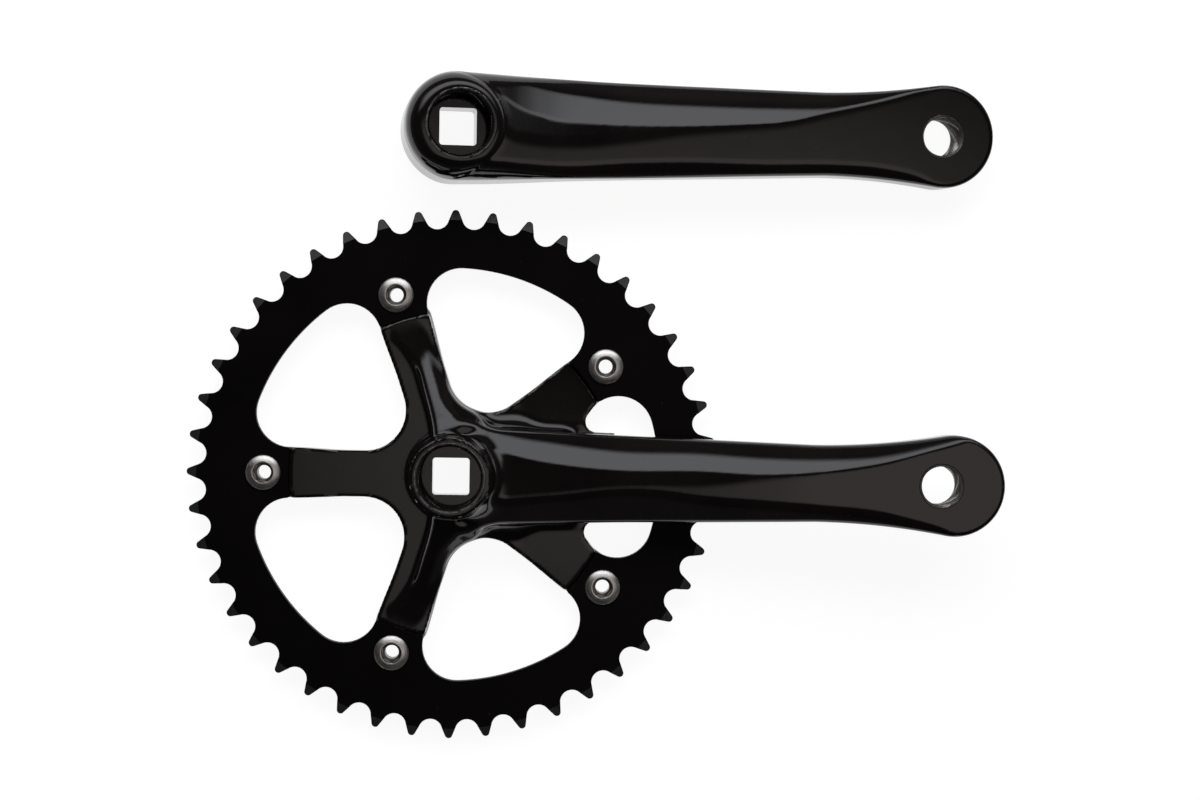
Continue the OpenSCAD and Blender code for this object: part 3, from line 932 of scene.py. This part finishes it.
def studio_floor():
    """Pale matte floor that glows a little, so that it stays nearly white."""
    n = Nodes("pale_floor")
    soft = n.noise(3.0, 2.0)
    colour = n.mix(soft, (0.28, 0.28, 0.28, 1), (0.31, 0.31, 0.31, 1))
    return n.set(Base_Color=colour, Roughness=0.85, Specular_IOR_Level=0.0,
                 Emission_Color=(1, 1, 1, 1), Emission_Strength=0.92)


# ---------------------------------------------------------------- camera, lights and floor

def place_camera():
    """Straight-down view, from a little above and to the right of the drive-side hub."""
    camera = bpy.data.cameras.new("camera")
    camera.sensor_width = 36.0
    camera.lens = 63.15
    obj = bpy.data.objects.new("camera", camera)
    obj.rotation_mode = "XYZ"
    obj.rotation_euler = [math.radians(a) for a in (-1.19, -1.37, 0.886)]
    obj.location = (0.0331, 0.0415, 0.7358)
    bpy.context.scene.collection.objects.link(obj)
    bpy.context.scene.camera = obj


# Share of a light panel's width, in from each edge, over which it fades out
SOFT_EDGE = 0.34


def panel(name, place, target, width, height, radiance, tint):
    """Rectangular soft light with the given radiance in its middle, fading towards its edges."""
    light = bpy.data.lights.new(name, "AREA")
    light.shape = "RECTANGLE"
    light.size, light.size_y = width, height
    light.energy = radiance * math.pi * width * height
    light.color = tint
    light.use_nodes = True
    tree = light.node_tree
    surface = tree.nodes.new("ShaderNodeNewGeometry")
    split = tree.nodes.new("ShaderNodeSeparateXYZ")
    tree.links.new(surface.outputs["Parametric"], split.inputs[0])
    both = tree.nodes.new("ShaderNodeMath")
    both.operation = "MULTIPLY"
    tree.links.new(both.outputs[0], tree.nodes["Emission"].inputs["Strength"])
    for i, axis in enumerate("XY"):
        edge = tree.nodes.new("ShaderNodeMath")
        edge.operation = "PINGPONG"
        edge.inputs[1].default_value = 0.5
        tree.links.new(split.outputs[axis], edge.inputs[0])
        fade = tree.nodes.new("ShaderNodeMapRange")
        fade.interpolation_type = "SMOOTHSTEP"
        fade.inputs["From Max"].default_value = SOFT_EDGE
        tree.links.new(edge.outputs[0], fade.inputs["Value"])
        tree.links.new(fade.outputs["Result"], both.inputs[i])
    obj = bpy.data.objects.new(name, light)
    obj.location = place
    obj.rotation_euler = (Vector(target) - Vector(place)).to_track_quat("-Z", "Y").to_euler()
    bpy.context.scene.collection.objects.link(obj)


def dim_room():
    """Dark room, a little lighter towards the horizon."""
    world = bpy.data.worlds.new("room")
    world.use_nodes = True
    tree = world.node_tree
    coord = tree.nodes.new("ShaderNodeTexCoord")
    split = tree.nodes.new("ShaderNodeSeparateXYZ")
    fade = tree.nodes.new("ShaderNodeMapRange")
    tree.links.new(coord.outputs["Generated"], split.inputs[0])
    tree.links.new(split.outputs["Z"], fade.inputs["Value"])
    for key, value in {"From Min": 0.0, "From Max": 0.5, "To Min": 0.10, "To Max": 0.02}.items():
        fade.inputs[key].default_value = value
    background = tree.nodes["Background"]
    background.inputs["Color"].default_value = (1.0, 0.985, 0.97, 1)
    tree.links.new(fade.outputs["Result"], background.inputs["Strength"])
    bpy.context.scene.world = world


def lay_floor():
    """Floor just under the object."""
    mesh = bpy.data.meshes.new("studio_floor")
    half = 6.0
    corners = [(-half, -half, 0), (half, -half, 0), (half, half, 0), (-half, half, 0)]
    mesh.from_pydata(corners, [], [(0, 1, 2, 3)])
    floor = link(mesh, "studio_floor")
    floor.location.z = -0.0004
    floor.data.materials.append(studio_floor())


def studio():
    """Cool window panel behind the object and a warm ceiling panel over the arms' pedal ends."""
    middle = (0.07, 0.03, 0.0)
    panel("window_box", (0.07, 1.25, 1.25), middle, 3.4, 1.32, 2.4, (0.94, 0.96, 1.0))
    panel("ceiling", (0.54, -0.10, 2.1), (0.54, -0.10, 0.0), 2.4, 1.34, 0.74, (1.0, 0.90, 0.88))
    dim_room()
    lay_floor()
    bpy.context.scene.view_settings.view_transform = "Standard"


# ---------------------------------------------------------------- assembly

def finish_piece(obj, body, node, slot, *materials):
    """Gives a piece its materials and the body it rides on, and hides the CAD node it stands for."""
    obj.data.materials.clear()
    for material in materials:
        obj.data.materials.append(material)
    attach(obj, body)
    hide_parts(node)


def make_arms():
    """Both arms; the left one is tilted so that it lies on its hub and its pedal end."""
    right = make_arm("drive_side_arm", RightArm(), (-78, -75, -3), (191, 75, 39), 1)
    bore_tabs(right)
    shade(right)
    finish_piece(right, "drive_side", "right_crank_arm", "arm",
                 black_gloss("gloss_black_right_arm", 0.0))

    left = make_arm("left_arm", LeftArm(), (-22, -22, -3), (187, 22, 39), -1)
    shade(left)
    left.data.transform(Matrix.Rotation(LEFT_TILT, 4, "Y"))
    left.matrix_world = Matrix.Translation(Vector((*LEFT_PLACE, LEFT_LIFT)) * MM)
    finish_piece(left, "left_side", "left_crank_arm", "arm",
                 black_gloss("gloss_black_left_arm", LEFT_TILT))


def make_ring():
    """Chainring, with its tooth bevels in a second material."""
    ring = make_chainring()
    finish_piece(ring, "drive_side", "chainring", "ring", satin_ring(), tooth_bevel())
    for poly in ring.data.polygons:
        r = math.hypot(poly.center.x, poly.center.y) / MM
        poly.material_index = int(r > BEVEL_R and abs(poly.normal.z) > 0.9)


def make_hardware():
    """Five bolts and their nuts, numbered clockwise from the tab opposite the crank arm."""
    bolt_steel = turned_steel("bolt_steel", 1.0)
    nut_steel = turned_steel("nut_steel", 0.92)
    for number in range(1, ARMS + 1):
        angle = math.radians(180 - 72 * (number - 1))
        place = Matrix.Translation((BOLT_R * MM * math.cos(angle), BOLT_R * MM * math.sin(angle), 0))
        spin = Matrix.Rotation(angle + 0.9 * number, 4, "Z")
        bolt = bolt_mesh(f"bolt_{number}_turned")
        nut = nut_mesh(f"nut_{number}_turned")
        for obj in (bolt, nut):
            shade(obj, 28)
        bolt.matrix_world = place @ spin
        nut.matrix_world = place @ Matrix.Rotation(angle, 4, "Z")
        finish_piece(bolt, f"bolt_{number}", f"chainring_bolt_{number}", "bolt", bolt_steel)
        finish_piece(nut, f"nut_{number}", f"chainring_nut_{number}", "nut", nut_steel)


place_camera()
studio()
make_arms()
make_ring()
make_hardware()
bpy.context.view_layer.update()
